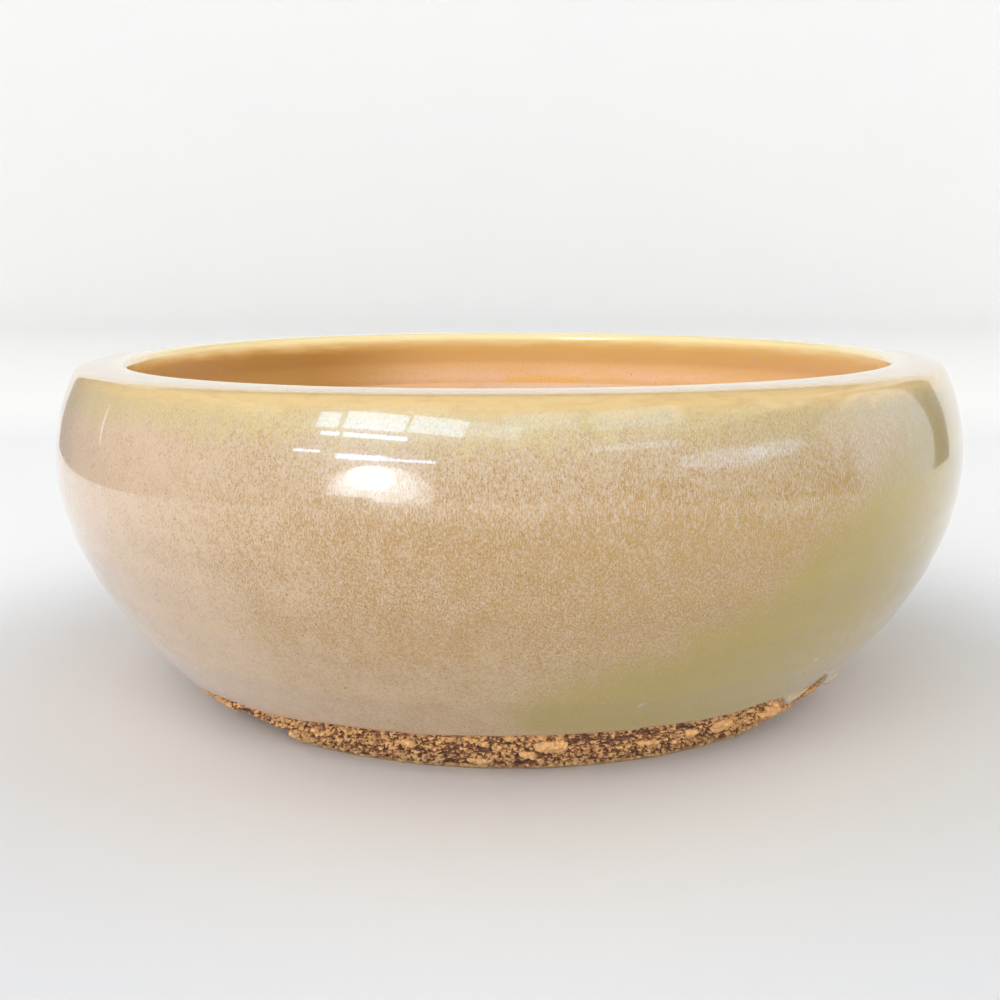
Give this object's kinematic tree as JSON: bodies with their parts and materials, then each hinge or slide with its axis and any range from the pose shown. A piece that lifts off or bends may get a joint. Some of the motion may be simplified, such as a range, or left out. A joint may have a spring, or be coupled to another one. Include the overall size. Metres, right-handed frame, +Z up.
{
  "type": "bonsai pot",
  "caption": "Round glazed stoneware bonsai pot with a rolled lip, a bare clay foot band, three low feet, a drain hole and wire holes.",
  "frame": {"origin": "on the ground, at the centre of the three feet, under the middle of the bowl", "axes": "+Z up out of the mouth; the front of the pot faces -Y"},
  "size_m": [0.165, 0.165, 0.0608],
  "materials": {
    "glaze": "gloss",
    "bare_clay": "matte",
    "inner_clay": "matte"
  },
  "bodies": {
    "root": {"glaze_coat": "glaze", "rolled_lip": "inner_clay", "wall_shell": "inner_clay", "floor_slab": "inner_clay", "base_band": "bare_clay", "foot_1": "bare_clay", "foot_2": "bare_clay", "foot_3": "bare_clay"}
  },
  "joints": []
}
